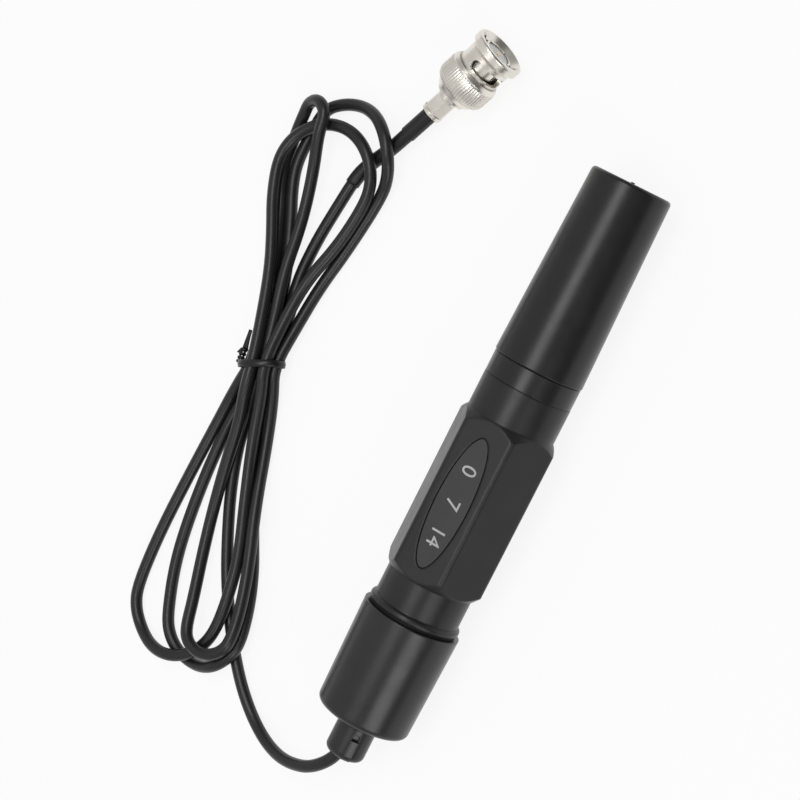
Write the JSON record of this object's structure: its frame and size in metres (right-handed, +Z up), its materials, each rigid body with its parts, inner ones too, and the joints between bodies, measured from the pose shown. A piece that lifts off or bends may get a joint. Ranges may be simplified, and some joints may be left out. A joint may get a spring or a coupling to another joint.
{
  "type": "ph electrode",
  "caption": "Plastic-bodied pH electrode lying with its storage cap on, hexagonal grip, glossy rear cap and a tied cable that ends in a bayonet plug.",
  "frame": {"origin": "on the table, under the middle of the electrode's box, its cable and plug left out", "axes": "+X along the electrode's axis towards its tip, +Z up from the table, the tied cable on the +Y side"},
  "size_m": [0.1923, 0.1093, 0.026],
  "materials": {
    "cap_plastic": "fine satin moulding",
    "handle_plastic": "fine satin moulding",
    "sensor_plastic": "satin moulding",
    "rear_plastic": "polished moulding",
    "label_plastic": "matt printed inlay",
    "seal_rubber": "plain rubber",
    "gasket_rubber": "silicone rubber",
    "clear_glass": "clear glass",
    "stem_sealant": "sealant",
    "junction_ceramic": "porous ceramic",
    "silver_wire": "silver wire",
    "epoxy": "cast resin",
    "cable_jacket": "smooth flexible jacket",
    "tie_plastic": "plastic-covered wire",
    "shrink_tube": "shrunk tubing",
    "nickel_plate": "nickel plating",
    "spring_steel": "spring steel",
    "pin_gold": "gilt",
    "ptfe": "white fluoropolymer"
  },
  "bodies": {
    "electrode": {"handle": "handle_plastic", "sensor_body": "sensor_plastic", "rear_cap": "rear_plastic", "label_plate": "label_plastic", "cap_o_ring": "seal_rubber", "rear_seal_ring": "seal_rubber", "chamber_bung": "seal_rubber", "plug_gasket": "gasket_rubber", "glass_electrode": "clear_glass", "stem_seal": "stem_sealant", "reference_junction": "junction_ceramic", "inner_reference_wire": "silver_wire", "reference_wire": "silver_wire", "potting_plug": "epoxy", "cable_tail": "cable_jacket", "cable_hank": "cable_jacket", "cable_lead": "cable_jacket", "twist_tie": "tie_plastic", "heat_shrink_sleeve": "shrink_tube", "crimp_ferrule": "nickel_plate", "plug_body": "nickel_plate", "retaining_ring": "nickel_plate", "spring_washer": "spring_steel", "centre_pin": "pin_gold", "insulator": "ptfe"},
    "cap": {"storage_cap": "cap_plastic"},
    "nut": {"coupling_nut": "nickel_plate"}
  },
  "joints": [
    {"name": "cap_pull", "type": "slide", "parent": "electrode", "child": "cap", "axis": [1, 0, 0], "range_m": [0, 0.055]},
    {"name": "nut_turn", "type": "hinge", "parent": "electrode", "child": "nut", "pos_m": [0.0731, 0.0597, 0.00565], "axis": [0.8776, -0.4588, 0.1392], "continuous": true}
  ]
}
